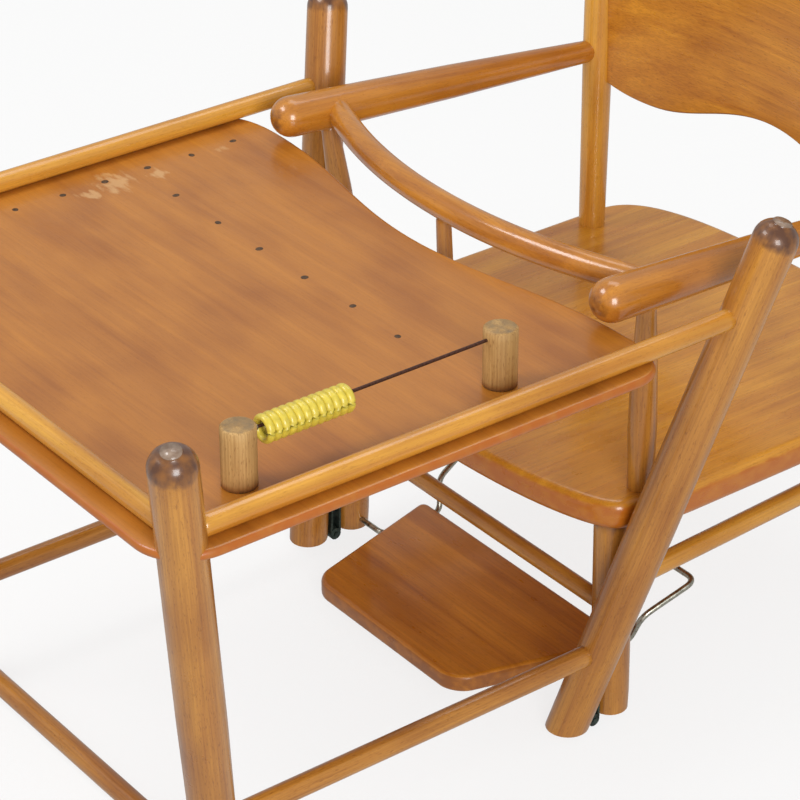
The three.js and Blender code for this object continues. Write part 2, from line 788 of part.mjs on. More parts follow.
// The backrest's outline as seen from the front.
function panelFace() {
  const w = panelReach + 5;
  const lobeX = panelReach - panelLobeInset;
  const lobe = backPostTop - panelLobeDrop;
  const arch = backPostTop - panelArchDrop;
  const topMiddle = backPostTop - panelTopDrop;
  const topEnd = backPostTop - panelShoulderDrop;
  const face = evenOutline([
    [0, arch],
    [lobeX * 0.4, arch, lobeX * 0.7, lobe, lobeX, lobe],
    [lobeX + 18, lobe, w - 14, lobe + 4, w, backPostTop - panelEndDrop],
    [w, topEnd],
    [w * 0.6, topEnd + 4, w * 0.35, topMiddle, 0, topMiddle],
  ]);
  const mesh = extruded("face", face, -panelY - panelBend - 40, -panelY + 40, paint.board);
  mesh.rotation.x = Math.PI / 2;
  mesh.position.set(0, panelY + panelBend + 40, 0);
  return mesh;
}
add(keepCommon(panelBand("backrest", 0), panelFace()));
for (const [label] of sides) cut(backPosts[label], panelBand("groove", socketFit));

// ---- Footrest ----
function footrestOutline() {
  const frontHalfWidth = footrestRearHalfWidth - footrestTaper;
  const corners = [
    [-frontHalfWidth, footrestFrontY, footrestFrontCorner],
    [frontHalfWidth, footrestFrontY, footrestFrontCorner],
    [footrestRearHalfWidth, footrestRearY, footrestRearCorner],
    [-footrestRearHalfWidth, footrestRearY, footrestRearCorner],
  ];
  return roundedPolygon(corners);
}

// A polygon whose corners [x, y, cut back] are rounded by curves.
function roundedPolygon(corners) {
  const outline = new THREE.Shape();
  corners.forEach(([x, y, back], i) => {
    const corner = new THREE.Vector2(x, y);
    const [before, after] = [corners.at(i - 1), corners[(i + 1) % corners.length]];
    const step = (other) => corner.clone().add(new THREE.Vector2(other[0] - x, other[1] - y).setLength(back));
    const from = step(before);
    const to = step(after);
    if (i === 0) outline.moveTo(from.x, from.y);
    else outline.lineTo(from.x, from.y);
    outline.quadraticCurveTo(x, y, to.x, to.y);
  });
  outline.closePath();
  return outline;
}

// A path through the given points with its corners rounded.
function bentPath(points, bend) {
  const path = new THREE.CurvePath();
  let last = points[0];
  for (let i = 1; i < points.length - 1; i += 1) {
    const corner = points[i];
    const from = corner.clone().add(points[i - 1].clone().sub(corner).setLength(bend));
    const to = corner.clone().add(points[i + 1].clone().sub(corner).setLength(bend));
    path.add(new THREE.LineCurve3(last, from));
    path.add(new THREE.QuadraticBezierCurve3(from, corner, to));
    last = to;
  }
  path.add(new THREE.LineCurve3(last, points.at(-1)));
  return path;
}

const footrestShape = [footrestOutline(), footrestBottom, footrestTop];
const footrest = add(extruded("footrest_board", ...footrestShape, paint.board, footrestEdgeRound));
const axleEnd = frameFloorHalfWidth - chairLegRadius + tenonDepth - 1;
const halfWire = [
  v(axleEnd, chairFrontLegY, footWireHeight),
  v(footWireArmX, chairFrontLegY, footWireHeight),
  v(footWireArmX, footrestRearY + footWireBendRadius + 1, footWireHeight),
  v(footWireArmX + footWireSplay / 2, footrestRearY + footWireBendRadius + 5, footWireKneeZ),
  v(footWireArmX + footWireSplay, footrestRearY + footWireBarReach, footWireBarZ),
];
const mirrored = halfWire.map((p) => v(-p.x, p.y, p.z)).reverse();
const wirePath = bentPath([...halfWire, ...mirrored], footWireBendRadius);
const wire = add(tubeAlong("footrest_wire", wirePath, footWireRadius, footWireRadius, 60, 6, paint.brightWire));
const grooveHalf = footWireRadius + gap;
for (const [label, side] of sides) {
  const grooveTop = footWireHeight + grooveHalf;
  const height = grooveTop - footrestBottom + 4;
  const centreZ = grooveTop - height / 2;
  const lengthY = footrestRearY + 14 - chairFrontLegY + grooveHalf;
  const centreY = chairFrontLegY - grooveHalf + lengthY / 2;
  const insideX = footWireArmX - grooveHalf;
  const alongArm = block("groove", [40, lengthY, height], v(side * (insideX + 20), centreY, centreZ), paint.board);
  cut(footrest, alongArm);
  const mouth = v(side * (axleEnd - tenonDepth - 3), chairFrontLegY, footWireHeight);
  const deep = v(side * (axleEnd + 10), chairFrontLegY, footWireHeight);
  cut(chairLegs["front_" + label], socket(mouth, deep, tenonDepth + 3.5, footWireRadius));
}

// ---- Hinges ----
// A leaf with its knuckles round the pin; `lean` tilts the plate from upright about the pin's line.
function knuckle(centreX, from, to, radius) {
  const start = v(centreX + from, hingeAxisY, hingePinHeight);
  const stations = [
    [0, radius],
    [to - from, radius],
  ];
  return turned("knuckle", start, start.clone().add(v(1, 0, 0)), stations, paint.blackIron, 12);
}

function hingeLeaf(name, x, facing, knuckles, top) {
  const plateY = hingeAxisY + facing * (hingeKnuckleRadius - hingeLeafThickness / 2);
  const foot = v(x, plateY, hingePinHeight);
  const plate = block(
    name,
    [hingeWidth, hingeLeafThickness, hingeLeafLength],
    foot.clone().lerp(top, 0.5),
    paint.blackIron,
  );
  plate.quaternion.setFromUnitVectors(v(0, 0, 1), top.clone().sub(foot).normalize());
  const third = hingeWidth / 3;
  const middleThird = knuckle(x, -third / 2 - gap, third / 2 + gap, hingeKnuckleRadius + gap);
  const outerThirds = [
    knuckle(x, -hingeWidth, -third / 2 + gap, hingeKnuckleRadius + gap),
    knuckle(x, third / 2 - gap, hingeWidth, hingeKnuckleRadius + gap),
  ];
  const pinHole = knuckle(x, -hingeWidth, hingeWidth, hingePinRadius + hingePinFit);
  if (knuckles === "middle") {
    cut(plate, ...outerThirds);
    join(plate, knuckle(x, -third / 2 + gap, third / 2 - gap, hingeKnuckleRadius));
  } else {
    cut(plate, middleThird);
    join(plate, knuckle(x, -hingeWidth / 2, -third / 2 - gap, hingeKnuckleRadius));
    join(plate, knuckle(x, third / 2 + gap, hingeWidth / 2, hingeKnuckleRadius));
  }
  return cut(plate, pinHole);
}

for (const [label, side] of sides) {
  const x = side * frameFloorHalfWidth;
  const [chairFloor, chairTop] = chairLegLine(side, true);
  const [tableFloor, tableTop] = tableLegLine(side, false);
  const leafHeight = hingePinHeight + hingeLeafLength;
  const chairShift = hingeKnuckleRadius - hingeLeafThickness / 2;
  const chairLean = atHeight(chairFloor, chairTop, hingeLeafLength).sub(chairFloor);
  const tableLean = atHeight(tableFloor, tableTop, hingeLeafLength).sub(tableFloor);
  const chairLeafTop = v(x + chairLean.x, hingeAxisY + chairShift, leafHeight);
  const tableLeafTop = v(x + tableLean.x, hingeAxisY - chairShift + tableLean.y, leafHeight);
  const chairLeaf = add(hingeLeaf("hinge_chair_leaf_" + label, x, 1, "middle", chairLeafTop));
  const tableLeaf = add(hingeLeaf("hinge_table_leaf_" + label, x, -1, "outer", tableLeafTop));
  // Each leg is let in to take its leaf and the knuckles.
  const clearance = knuckle(x, -hingeWidth / 2 - 1, hingeWidth / 2 + 1, hingeKnuckleRadius + 2 * gap);
  for (const [leg, leaf] of [
    [chairLegs["front_" + label], chairLeaf],
    [tableLegs["leg_" + label], tableLeaf],
  ]) {
    const shape = [hingeWidth + 2 * gap, hingeLeafThickness + 2 * gap, hingeLeafLength + 2];
    const recess = block("recess", shape, leaf.position, paint.beech);
    recess.quaternion.copy(leaf.quaternion);
    cut(leg, recess, clearance);
  }
  const pinStart = v(x - hingeWidth / 2 - hingePinEnd, hingeAxisY, hingePinHeight);
  const pinStations = [
    [0, hingePinRadius],
    [hingeWidth + 2 * hingePinEnd, hingePinRadius],
  ];
  add(turned("hinge_pin_" + label, pinStart, pinStart.clone().add(v(1, 0, 0)), pinStations, paint.blackIron, 8));
}

// The origin is the middle of the footprint, on the floor.
const extent = new THREE.Box3().setFromObject(chair);
chair.position.y = -(extent.min.y + extent.max.y) / 2;

export default chair;
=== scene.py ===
# A child's chair of turned beech, hinged at the floor to a play table with a bead wire. Metres, +Z up,
# the table side at -Y and the seated child's left at +X. Each section makes one piece or group of pieces,
# in the order in which the furniture is put together.
import json
import math
import random

import bmesh
import bpy
import numpy as np
from mathutils import Matrix, Vector


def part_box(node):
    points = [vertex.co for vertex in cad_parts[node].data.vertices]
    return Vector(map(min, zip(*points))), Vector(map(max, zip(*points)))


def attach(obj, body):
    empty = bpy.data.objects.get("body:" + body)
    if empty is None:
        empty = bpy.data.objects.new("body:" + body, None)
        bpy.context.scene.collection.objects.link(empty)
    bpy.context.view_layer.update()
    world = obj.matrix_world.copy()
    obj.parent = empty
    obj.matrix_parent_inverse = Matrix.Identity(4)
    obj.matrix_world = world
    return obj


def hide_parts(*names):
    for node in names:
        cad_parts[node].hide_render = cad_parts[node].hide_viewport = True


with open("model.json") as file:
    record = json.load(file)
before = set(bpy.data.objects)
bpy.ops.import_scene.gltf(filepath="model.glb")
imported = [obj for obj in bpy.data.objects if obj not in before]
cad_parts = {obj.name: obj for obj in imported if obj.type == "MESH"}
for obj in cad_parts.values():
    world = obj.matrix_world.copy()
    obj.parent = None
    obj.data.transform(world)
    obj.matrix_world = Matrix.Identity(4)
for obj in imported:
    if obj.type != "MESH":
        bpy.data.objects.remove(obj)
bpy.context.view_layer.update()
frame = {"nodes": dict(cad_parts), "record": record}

# ---- Stage ----
# A white studio sweep and soft panel lights. The floor is half clear, so that the table frame still
# shows when it is folded down under the chair.


def linear(hex_colour):
    """An sRGB hex colour as linear RGBA."""
    shares = [int(hex_colour[i : i + 2], 16) / 255 for i in (1, 3, 5)]
    return [s / 12.92 if s <= 0.04045 else ((s + 0.055) / 1.055) ** 2.4 for s in shares] + [1.0]


def add_node(tree, kind, values=None, links=None, **settings):
    """Adds a node with its settings, its inputs' values and the sockets that feed its inputs."""
    node = tree.nodes.new(kind)
    for name, value in settings.items():
        setattr(node, name, value)
    for name, value in (values or {}).items():
        node.inputs[name].default_value = value
    for name, socket in (links or {}).items():
        tree.links.new(socket, node.inputs[name])
    return node


def new_material(name):
    """An empty node material and its tree."""
    material = bpy.data.materials.new(name)
    material.use_nodes = True
    material.node_tree.nodes.clear()
    return material, material.node_tree


def surface(tree, shader):
    add_node(tree, "ShaderNodeOutputMaterial", links={"Surface": shader.outputs[0]})


def mesh_object(name, vertices, faces):
    mesh = bpy.data.meshes.new(name)
    mesh.from_pydata([tuple(v) for v in vertices], [], faces)
    mesh.validate()
    made = bpy.data.objects.new(name, mesh)
    bpy.context.scene.collection.objects.link(made)
    return made


floor_half = 6.0
floor_corners = [(x * floor_half, y * floor_half) for x, y in ((-1, -1), (1, -1), (1, 1), (-1, 1))]
floor = mesh_object("floor", [(x, y, -0.0005) for x, y in floor_corners], [(0, 1, 2, 3)])
sweep, sweep_tree = new_material("white_sweep")
surface(
    sweep_tree,
    add_node(
        sweep_tree,
        "ShaderNodeBsdfPrincipled",
        {"Base Color": linear("#F6F6F5"), "Roughness": 0.9, "Specular IOR Level": 0.1, "Alpha": 0.2},
    ),
)
floor.data.materials.append(sweep)

bpy.context.scene.view_settings.view_transform = "Standard"
world = bpy.data.worlds.new("studio")
bpy.context.scene.world = world
world.use_nodes = True
sky = world.node_tree
seen = add_node(sky, "ShaderNodeLightPath").outputs["Is Camera Ray"]  # white behind, dimmer around
room = add_node(
    sky, "ShaderNodeMapRange", {"To Min": 0.5, "To Max": 1.0}, {"Value": seen}
)
backdrop = sky.nodes["Background"]
backdrop.inputs["Color"].default_value = linear("#FFFFFF")
sky.links.new(room.outputs[0], backdrop.inputs["Strength"])


def panel_light(name, place, aim, size, watts):
    lamp = bpy.data.lights.new(name, "AREA")
    lamp.shape = "RECTANGLE"
    lamp.size, lamp.size_y = size
    lamp.energy = watts
    holder = bpy.data.objects.new(name, lamp)
    bpy.context.scene.collection.objects.link(holder)
    holder.location = place
    holder.rotation_mode = "QUATERNION"
    holder.rotation_quaternion = (Vector(aim) - Vector(place)).to_track_quat("-Z", "Y")


panel_light("key_panel", (-0.9, -1.6, 2.4), (0, 0, 0.2), (1.1, 0.8), 26)
panel_light("front_panel", (2.3, -1.1, 1.2), (0, 0, 0.2), (1.0, 1.2), 42)
panel_light("top_panel", (-0.6, 0.9, 2.6), (0, 0, 0.3), (1.6, 1.0), 12)

camera_place = Vector((1.4824, -1.1517, 1.2894))
camera_azimuth = math.radians(52.6)
camera_elevation = math.radians(30.0)
camera_back = Vector(
    (
        math.sin(camera_azimuth) * math.cos(camera_elevation),
        -math.cos(camera_azimuth) * math.cos(camera_elevation),
        math.sin(camera_elevation),
    )
)
camera = bpy.data.objects.new("camera", bpy.data.cameras.new("camera"))
bpy.context.scene.collection.objects.link(camera)
camera.location = camera_place
camera.rotation_mode = "QUATERNION"
camera.rotation_quaternion = (-camera_back).to_track_quat("-Z", "Y")
camera.data.lens = 136.5
camera.data.sensor_width = 36.0
camera.data.clip_end = 30
bpy.context.scene.camera = camera

# ---- Varnished beech ----
# Plain-sawn and turned beech under an amber spirit varnish: fine straight fibre, short dark ray flecks,
# a soft gloss, darker where hands and dirt have worked into it.
# On the seat that darkening is painted shade, deeper the further below its top face.


def varnished_beech(name, pale, deep, worn, figure=1.0, roughness=0.3, coat=0.5, scuffs=()):
    """Wood whose fibre follows each piece's own `grain` attribute; `worn` shows where the wear amount is
    high, which on the seat is painted shade below its top face.

    Above a patina of 1.3 it is rubbed to grey wood. Scuffs are (x, y, z, reach) places rubbed pale.
    """
    material, tree = new_material(name)
    grain = add_node(tree, "ShaderNodeAttribute", attribute_name="grain").outputs["Vector"]
    patina = add_node(tree, "ShaderNodeAttribute", attribute_name="patina").outputs["Fac"]

    def noise(across_mm, along_mm, detail=3.0, distortion=0.0, source=grain):
        scale = (1000 / across_mm, 1000 / across_mm, 1000 / along_mm)
        place = add_node(tree, "ShaderNodeMapping", {"Scale": scale}, {"Vector": source})
        values = {"Scale": 1.0, "Detail": detail, "Distortion": distortion}
        return add_node(tree, "ShaderNodeTexNoise", values, {"Vector": place.outputs[0]}).outputs["Fac"]

    def ramp(factor, *stops):
        node = add_node(tree, "ShaderNodeValToRGB", links={"Fac": factor})
        for i, (position, colour) in enumerate(stops):
            element = node.color_ramp.elements[i] if i < 2 else node.color_ramp.elements.new(position)
            element.position = position
            element.color = linear(colour)
        return node.outputs["Color"]

    def mixed(kind, factor, under, over):
        node = add_node(tree, "ShaderNodeMix", data_type="RGBA", blend_type=kind)
        for index, value in ((0, factor), (6, under), (7, over)):
            if isinstance(value, (float, int, list)):
                node.inputs[index].default_value = value
            else:
                tree.links.new(value, node.inputs[index])
        return node.outputs[2]

    growth = noise(11, 260, 2.5, 0.6)  # broad bands of growth rings
    fibre = noise(1.1, 55, 3.0)
    fleck = noise(0.7, 4.5, 1.0)  # rays, 0.4 mm wide in the real wood, drawn wider so that they show
    smudge = noise(45, 90, 2.0)
    colour = ramp(growth, (0.34, deep), (0.66, pale))
    fibres = ramp(fibre, (0.3, "#C9BBA8"), (0.62, "#FFFFFF"))
    colour = mixed("MULTIPLY", 0.55 * figure, colour, fibres)
    flecks = ramp(fleck, (0.28, "#A98E70"), (0.4, "#FFFFFF"))
    colour = mixed("MULTIPLY", 0.45 * figure, colour, flecks)
    smudges = ramp(smudge, (0.3, "#CDB79C"), (0.55, "#FFFFFF"))
    colour = mixed("MULTIPLY", 0.55, colour, smudges)
    # Where the wear amount runs high the wood takes the `worn` colour; on the seat that amount is painted
    # shade, a deeper orange below the top face.
    ragged = add_node(tree, "ShaderNodeMath", {1: 0.9}, {0: noise(6, 9, 4.0)}, operation="MULTIPLY_ADD")
    tree.links.new(patina, ragged.inputs[2])
    wear_and_shade_mask = add_node(
        tree,
        "ShaderNodeMapRange",
        {"From Min": 0.95, "From Max": 1.35},
        {"Value": ragged.outputs[0]},
    )
    colour = mixed("MIX", wear_and_shade_mask.outputs[0], colour, ramp(noise(9, 14), (0.42, worn), (0.95, deep)))
    rubbed = add_node(tree, "ShaderNodeMapRange", {"From Min": 1.3, "From Max": 1.5}, {"Value": patina})
    grey_wood = ramp(noise(4, 6), (0.3, "#7E6450"), (0.7, "#A08A78"))
    colour = mixed("MIX", rubbed.outputs[0], colour, grey_wood)
    in_place = add_node(tree, "ShaderNodeTexCoord").outputs["Object"]
    for *spot, reach in scuffs:
        apart = add_node(tree, "ShaderNodeVectorMath", {1: spot}, {0: in_place}, operation="DISTANCE")
        near = add_node(
            tree,
            "ShaderNodeMapRange",
            {"From Min": 0.0, "From Max": reach, "To Min": 0.62, "To Max": 0.0},
            {"Value": apart.outputs["Value"]},
        )
        patch = add_node(
            tree, "ShaderNodeMath", links={0: near.outputs[0], 1: noise(5, 12, 5.0)}, operation="ADD"
        )
        shown = add_node(
            tree,
            "ShaderNodeMapRange",
            {"From Min": 0.82, "From Max": 1.0, "To Min": 0.0, "To Max": 0.6},
            {"Value": patch.outputs[0]},
        )
        colour = mixed("MIX", shown.outputs[0], colour, linear("#DDB078"))

    gloss = add_node(
        tree,
        "ShaderNodeMapRange",
        {"From Min": 0.3, "From Max": 0.7, "To Min": roughness - 0.06, "To Max": roughness + 0.12},
        {"Value": noise(14, 30, 4.0)},
    )
    relief = add_node(tree, "ShaderNodeMath", {1: 0.35}, {0: fibre}, operation="MULTIPLY_ADD")
    tree.links.new(noise(9, 14, 2.0), relief.inputs[2])
    bump = add_node(
        tree, "ShaderNodeBump", {"Strength": 0.25, "Distance": 0.0006}, {"Height": relief.outputs[0]}
    )
    wood = add_node(
        tree,
        "ShaderNodeBsdfPrincipled",
        {"IOR": 1.5, "Coat Weight": coat, "Coat Roughness": 0.12, "Coat IOR": 1.5},
        {"Base Color": colour, "Roughness": gloss.outputs[0], "Normal": bump.outputs[0]},
    )
    surface(tree, wood)
    return material


# The legs' beech is mid amber with dark handled tops; the dowels' is paler and closer in the grain.
leg_beech = varnished_beech("varnished_turned_beech", "#C88A36", "#B0722C", "#5A3620")
rail_beech = varnished_beech("varnished_pale_dowel", "#E2A63E", "#CC882E", "#7A4A22", 0.6, 0.24)


def give_grain(made, direction, patina=None):
    """Stores each point's place along and across the wood's own fibre, different in every piece."""
    along = Vector(direction).normalized()
    across = along.orthogonal().normalized() if abs(along.z) > 0.9 else along.cross((0, 0, 1)).normalized()
    third = along.cross(across)
    luck = random.Random(sum(ord(c) * (i + 3) for i, c in enumerate(made.name)))
    start = [luck.uniform(-2, 2) for _ in range(3)]
    points = np.array([v.co for v in made.data.vertices])
    local = points @ np.array([across, third, along]).T + start
    field = made.data.attributes.new("grain", "FLOAT_VECTOR", "POINT")
    field.data.foreach_set("vector", local.astype(np.float32).ravel())
    amount = np.zeros(len(points)) if patina is None else np.array([patina(Vector(p)) for p in points])
    dirt = made.data.attributes.new("patina", "FLOAT", "POINT")
    dirt.data.foreach_set("value", amount.astype(np.float32))


def finish_piece(made, material, slot, *nodes):
    """Gives a piece its material and lets it ride in place of its CAD nodes."""
    made.data.materials.clear()
    made.data.materials.append(material)
    made.data.polygons.foreach_set("use_smooth", [True] * len(made.data.polygons))
    bodies = frame["record"]["behaviour"]["bodies"]
    body = next(name for name in bodies if nodes[0] in bodies[name])
    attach(made, body)
    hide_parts(*nodes)
    return made


# ---- Turned pieces ----
# Every leg, post, rail and stretcher was turned on a lathe, so each is drawn from its own axis and
# outline.
MM = 0.001


def turned_outline(node):
    """A turned node's line, read from its surface: a point, a direction, and its [along, radius] outline."""
    mesh = frame["nodes"][node].data
    count = len(mesh.polygons)
    normals, centres, areas = np.empty(count * 3), np.empty(count * 3), np.empty(count)
    mesh.polygons.foreach_get("normal", normals)
    mesh.polygons.foreach_get("center", centres)
    mesh.polygons.foreach_get("area", areas)
    normals, centres = normals.reshape(-1, 3), centres.reshape(-1, 3)
    side = np.ones(count, bool)
    for _ in range(8):  # each round leaves out the cuts that aren't part of the turned surface
        direction = np.linalg.eigh((normals[side] * areas[side, None]).T @ normals[side])[1][:, 0]
        direction = direction * (1 if direction @ (0.2, 0.5, 1) > 0 else -1)
        side = side & (abs(normals @ direction) < 0.12)
        basis = np.linalg.svd(direction[None, :])[2][1:]
        weight = np.sqrt(areas)[:, None]
        rows = np.hstack([normals @ basis.T, np.ones((count, 1)), centres @ direction[:, None]])
        heights = (normals * centres).sum(1, keepdims=True)
        fit = np.linalg.lstsq((rows * weight)[side], (heights * weight)[side], rcond=None)[0]
        side = (abs(normals @ direction) < 0.12) & (abs(heights - rows @ fit).ravel() < 1.2 * MM)
    place = fit.ravel()[:2] @ basis
    points = np.array([v.co for v in mesh.vertices])
    along = (points - place) @ direction
    radius = np.linalg.norm(points - place - along[:, None] * direction, axis=1)
    outline = []
    for a, r in sorted(zip(along.round(5), radius)):
        while len(outline) > 1 and (outline[-1][0] - outline[-2][0]) * (r - outline[-2][1]) >= (
            outline[-1][1] - outline[-2][1]
        ) * (a - outline[-2][0]):
            outline.pop()
        outline.append((a, r))
    return Vector(place), Vector(direction), outline


def lathe(name, place, direction, stations, sides=48):
    """A closed turned solid from [along, radius] stations."""
    across = direction.orthogonal().normalized()
    third = direction.cross(across)
    vertices, faces = [], []
    for along, radius in stations:
        centre = place + direction * along
        for i in range(sides):
            turn = 2 * math.pi * i / sides
            vertices.append(centre + (across * math.cos(turn) + third * math.sin(turn)) * radius)
    for ring in range(len(stations) - 1):
        for i in range(sides):
            j = (i + 1) % sides
            low, high = ring * sides, (ring + 1) * sides
            faces.append((low + i, low + j, high + j, high + i))
    faces.append(tuple(range(sides))[::-1])
    faces.append(tuple(range(len(vertices) - sides, len(vertices))))
    return mesh_object(name, vertices, faces)


def resampled(outline, step=0.009):
    """The outline with a station at about every step."""
    stations = []
    for (a0, r0), (a1, r1) in zip(outline, outline[1:]):
        count = max(1, round((a1 - a0) / step))
        stations += [(a0 + (a1 - a0) * i / count, r0 + (r1 - r0) * i / count) for i in range(count)]
    stations.append(outline[-1])
    return stations


def trim_flat(made, z, bevel=0.002):
    """Cuts a leg off level at height z and rubs the new edge round."""
    work = bmesh.new()
    work.from_mesh(made.data)
    everything = work.verts[:] + work.edges[:] + work.faces[:]
    cut = bmesh.ops.bisect_plane(
        work, geom=everything, plane_co=(0, 0, z), plane_no=(0, 0, 1), clear_inner=True
    )
    rim = [e for e in cut["geom_cut"] if isinstance(e, bmesh.types.BMEdge)]
    bmesh.ops.contextual_create(work, geom=rim)
    rim = [e for e in work.edges if all(abs(v.co.z - z) < 1e-6 for v in e.verts)]
    bmesh.ops.bevel(work, geom=rim, offset=bevel, segments=4, profile=0.5, affect="EDGES", clamp_overlap=True)
    bmesh.ops.recalc_face_normals(work, faces=work.faces)
    work.to_mesh(made.data)
    work.free()
    made.data.update()


def turned_piece(node, material, slot, stations=None, floor_z=None, patina=None):
    """Replaces a turned CAD node with a smooth piece on the same axis."""
    place, direction, outline = turned_outline(node)
    made = lathe(node + "_wood", place, direction, stations(outline) if stations else resampled(outline))
    if floor_z is not None:
        trim_flat(made, floor_z)
    give_grain(made, direction, patina and patina(place, direction, outline))
    return finish_piece(made, material, slot, node)


# ---- Table legs ----
# Four splayed legs: two posts at the front and two hinged at the chair side. Their domed tops are worn
# through the varnish and dark with handling; their feet are rubbed round.
leg_dome = 14 * MM
top_worn = 9 * MM


def leg_stations(outline):
    """The leg's outline with a full round dome and a run-out below the floor."""
    top, low = outline[-1][0], outline[0][0]
    shoulder = top - leg_dome
    body = [(a, r) for a, r in outline if a < shoulder + 1e-5]
    radius = body[-1][1]
    body[0] = (low - 12 * MM, body[0][1])
    dome = []
    for i in range(1, 11):
        turn = math.pi / 2 * i / 10
        flat = 0.42  # the very top is rubbed flat over this share of its radius
        dome.append((shoulder + leg_dome * math.sin(turn) ** 0.92, radius * max(flat, math.cos(turn))))
    return resampled(body) + dome


def leg_patina(place, direction, outline):
    top = outline[-1][0]

    def amount(point):
        below = top - (point - place).dot(direction)
        worn = max(0.0, 1 - below / (leg_dome + top_worn))
        foot = max(0.0, 1 - point.z / (22 * MM))
        return 1.3 * worn**0.6 + 0.45 * foot + (0.5 if below < 0.6 * MM else 0.0)

    return amount


for side in ("left", "right"):
    foot_z = {"front_post": 0.0, "hinge_leg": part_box(f"table_hinge_leg_{side}")[0].z}
    for kind, low in foot_z.items():
        turned_piece(f"table_{kind}_{side}", leg_beech, "turned_wood", leg_stations, low, leg_patina)

# ---- Table rails and stretchers ----
# Straight dowels glued into blind holes. The three upper ones fence the tray and are paler than the legs.
for node in ("tray_rail_front", "tray_rail_left", "tray_rail_right"):
    turned_piece(node, rail_beech, "rail_wood")
for node in ("table_stretcher_front", "table_stretcher_left", "table_stretcher_right"):
    turned_piece(node, leg_beech, "turned_wood")

# ---- Tray board ----
# A thin board of jointed beech with a full round edge, cut to two horns beside the arms. Its rim has
# gone a deep orange, and its top is scuffed.
# The tray is an even, slightly dull amber, rubbed pale in a few spots along the far row of nails.
board_low, board_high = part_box("tray_board")
far_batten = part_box("tray_batten_right")
far_line = (far_batten[0].x + far_batten[1].x) / 2
scuffs = [
    (far_line + x * MM, y * MM, board_high.z, reach * MM)
    for x, y, reach in ((6, -126, 30), (12, -92, 16), (10, -150, 18), (4, -32, 12))
]
board_beech = varnished_beech("varnished_board_top", "#C27C2A", "#B67228", "#B05E12", 0.4, 0.34, 0.3, scuffs)


def even_outline(half, per_curve=20):
    """A closed outline, the same on both sides of x = 0, from its right half: points and curves."""
    points = [Vector(half[0])]
    for stretch in half[1:]:
        if len(stretch) == 2:
            points.append(Vector(stretch))
            continue
        a, b, c, d = points[-1], Vector(stretch[:2]), Vector(stretch[2:4]), Vector(stretch[4:])
        for i in range(1, per_curve + 1):
            t = i / per_curve
            points.append(a * (1 - t) ** 3 + b * 3 * t * (1 - t) ** 2 + c * 3 * t * t * (1 - t) + d * t**3)
    return points + [Vector((-p.x, p.y)) for p in reversed(points[1:-1])]


def slab(name, outline, edge):
    """A flat board: the outline at each [inset, z] step of its edge, from the underside to the top."""
    count = len(outline)
    outward = []
    for i in range(count):
        run = (outline[(i + 1) % count] - outline[i - 1]).normalized()
        outward.append(Vector((run.y, -run.x)))
    vertices = [
        (p.x - n.x * inset, p.y - n.y * inset, z) for inset, z in edge for p, n in zip(outline, outward)
    ]
    faces = []
    for ring in range(len(edge) - 1):
        for i in range(count):
            j = (i + 1) % count
            low, high = ring * count, (ring + 1) * count
            faces.append((low + i, low + j, high + j, high + i))
    faces.append(tuple(range(count))[::-1])
    faces.append(tuple(range(len(vertices) - count, len(vertices))))
    return mesh_object(name, vertices, faces)


def rounded_edge(low, high, under, over, steps=6):
    """[inset, z] steps of a board's edge, with its lower and upper arrises rounded by these radii."""
    inner = 0.5 * MM
    steps_up = [(under + inner, low)]
    for i in range(steps + 1):
        turn = math.pi / 2 * i / steps
        steps_up.append((under * (1 - math.sin(turn)), low + under * (1 - math.cos(turn))))
    for i in range(steps + 1):
        turn = math.pi / 2 * i / steps
        steps_up.append((over * (1 - math.cos(turn)), high - over * (1 - math.sin(turn))))
    return steps_up + [(over + inner, high)]


arc_pull = 0.448
board_corner = 38 * MM
horn_width = 52 * MM
horn_round = 32 * MM
hollow_depth = 25 * MM
wide, front, horn_y = board_high.x, board_low.y, board_high.y
horn_x = wide - horn_width
pull = board_corner * arc_pull
board = slab(
    "tray_board_wood",
    even_outline(
        [
            (0, front),
            (wide - board_corner, front),
            (wide - pull, front, wide, front + pull, wide, front + board_corner),
            (wide, horn_y - horn_round),
            (wide, horn_y - horn_round / 4, wide - horn_width * arc_pull, horn_y, horn_x, horn_y),
            (horn_x * 0.6, horn_y, horn_x * 0.36, horn_y - hollow_depth, 0, horn_y - hollow_depth),
        ]
    ),
    rounded_edge(board_low.z, board_high.z, 3.4 * MM, 3.4 * MM),
)


def board_patina(point):
    return 1.1 if point.z < board_high.z - 0.3 * MM else 0.0  # the rim only


give_grain(board, (1, 0, 0), board_patina)
finish_piece(board, board_beech, "board_wood", "tray_board")

# ---- Tray battens ----
# Three square battens nailed up under the board, their edges just eased.
for node in ("tray_batten_cross", "tray_batten_left", "tray_batten_right"):
    low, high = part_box(node)
    corners = (low.x, low.y), (high.x, low.y), (high.x, high.y), (low.x, high.y)
    plan = [Vector(corner) for corner in corners]
    batten = slab(node + "_wood", plan, rounded_edge(low.z, high.z, 1 * MM, 0.5 * MM, 2))
    give_grain(batten, (1, 0, 0) if node.endswith("cross") else (0, 1, 0))
    finish_piece(batten, leg_beech, "turned_wood", node)

# ---- Nails ----
# Small iron nails with flat round heads, punched in level with the board along two battens and gone dark.


def group_input(tree, name, kind, default):
    socket = tree.interface.new_socket(name=name, in_out="INPUT", socket_type=kind)
    socket.default_value = default
    return socket.identifier


def baked(name, carrier):
    """The evaluated carrier as a plain mesh object; the carrier goes."""
    bpy.context.view_layer.update()
    evaluated = carrier.evaluated_get(bpy.context.evaluated_depsgraph_get())
    mesh = bpy.data.meshes.new_from_object(evaluated)
    made = bpy.data.objects.new(name, mesh)
    bpy.context.scene.collection.objects.link(made)
    bpy.data.objects.remove(carrier)
    return made


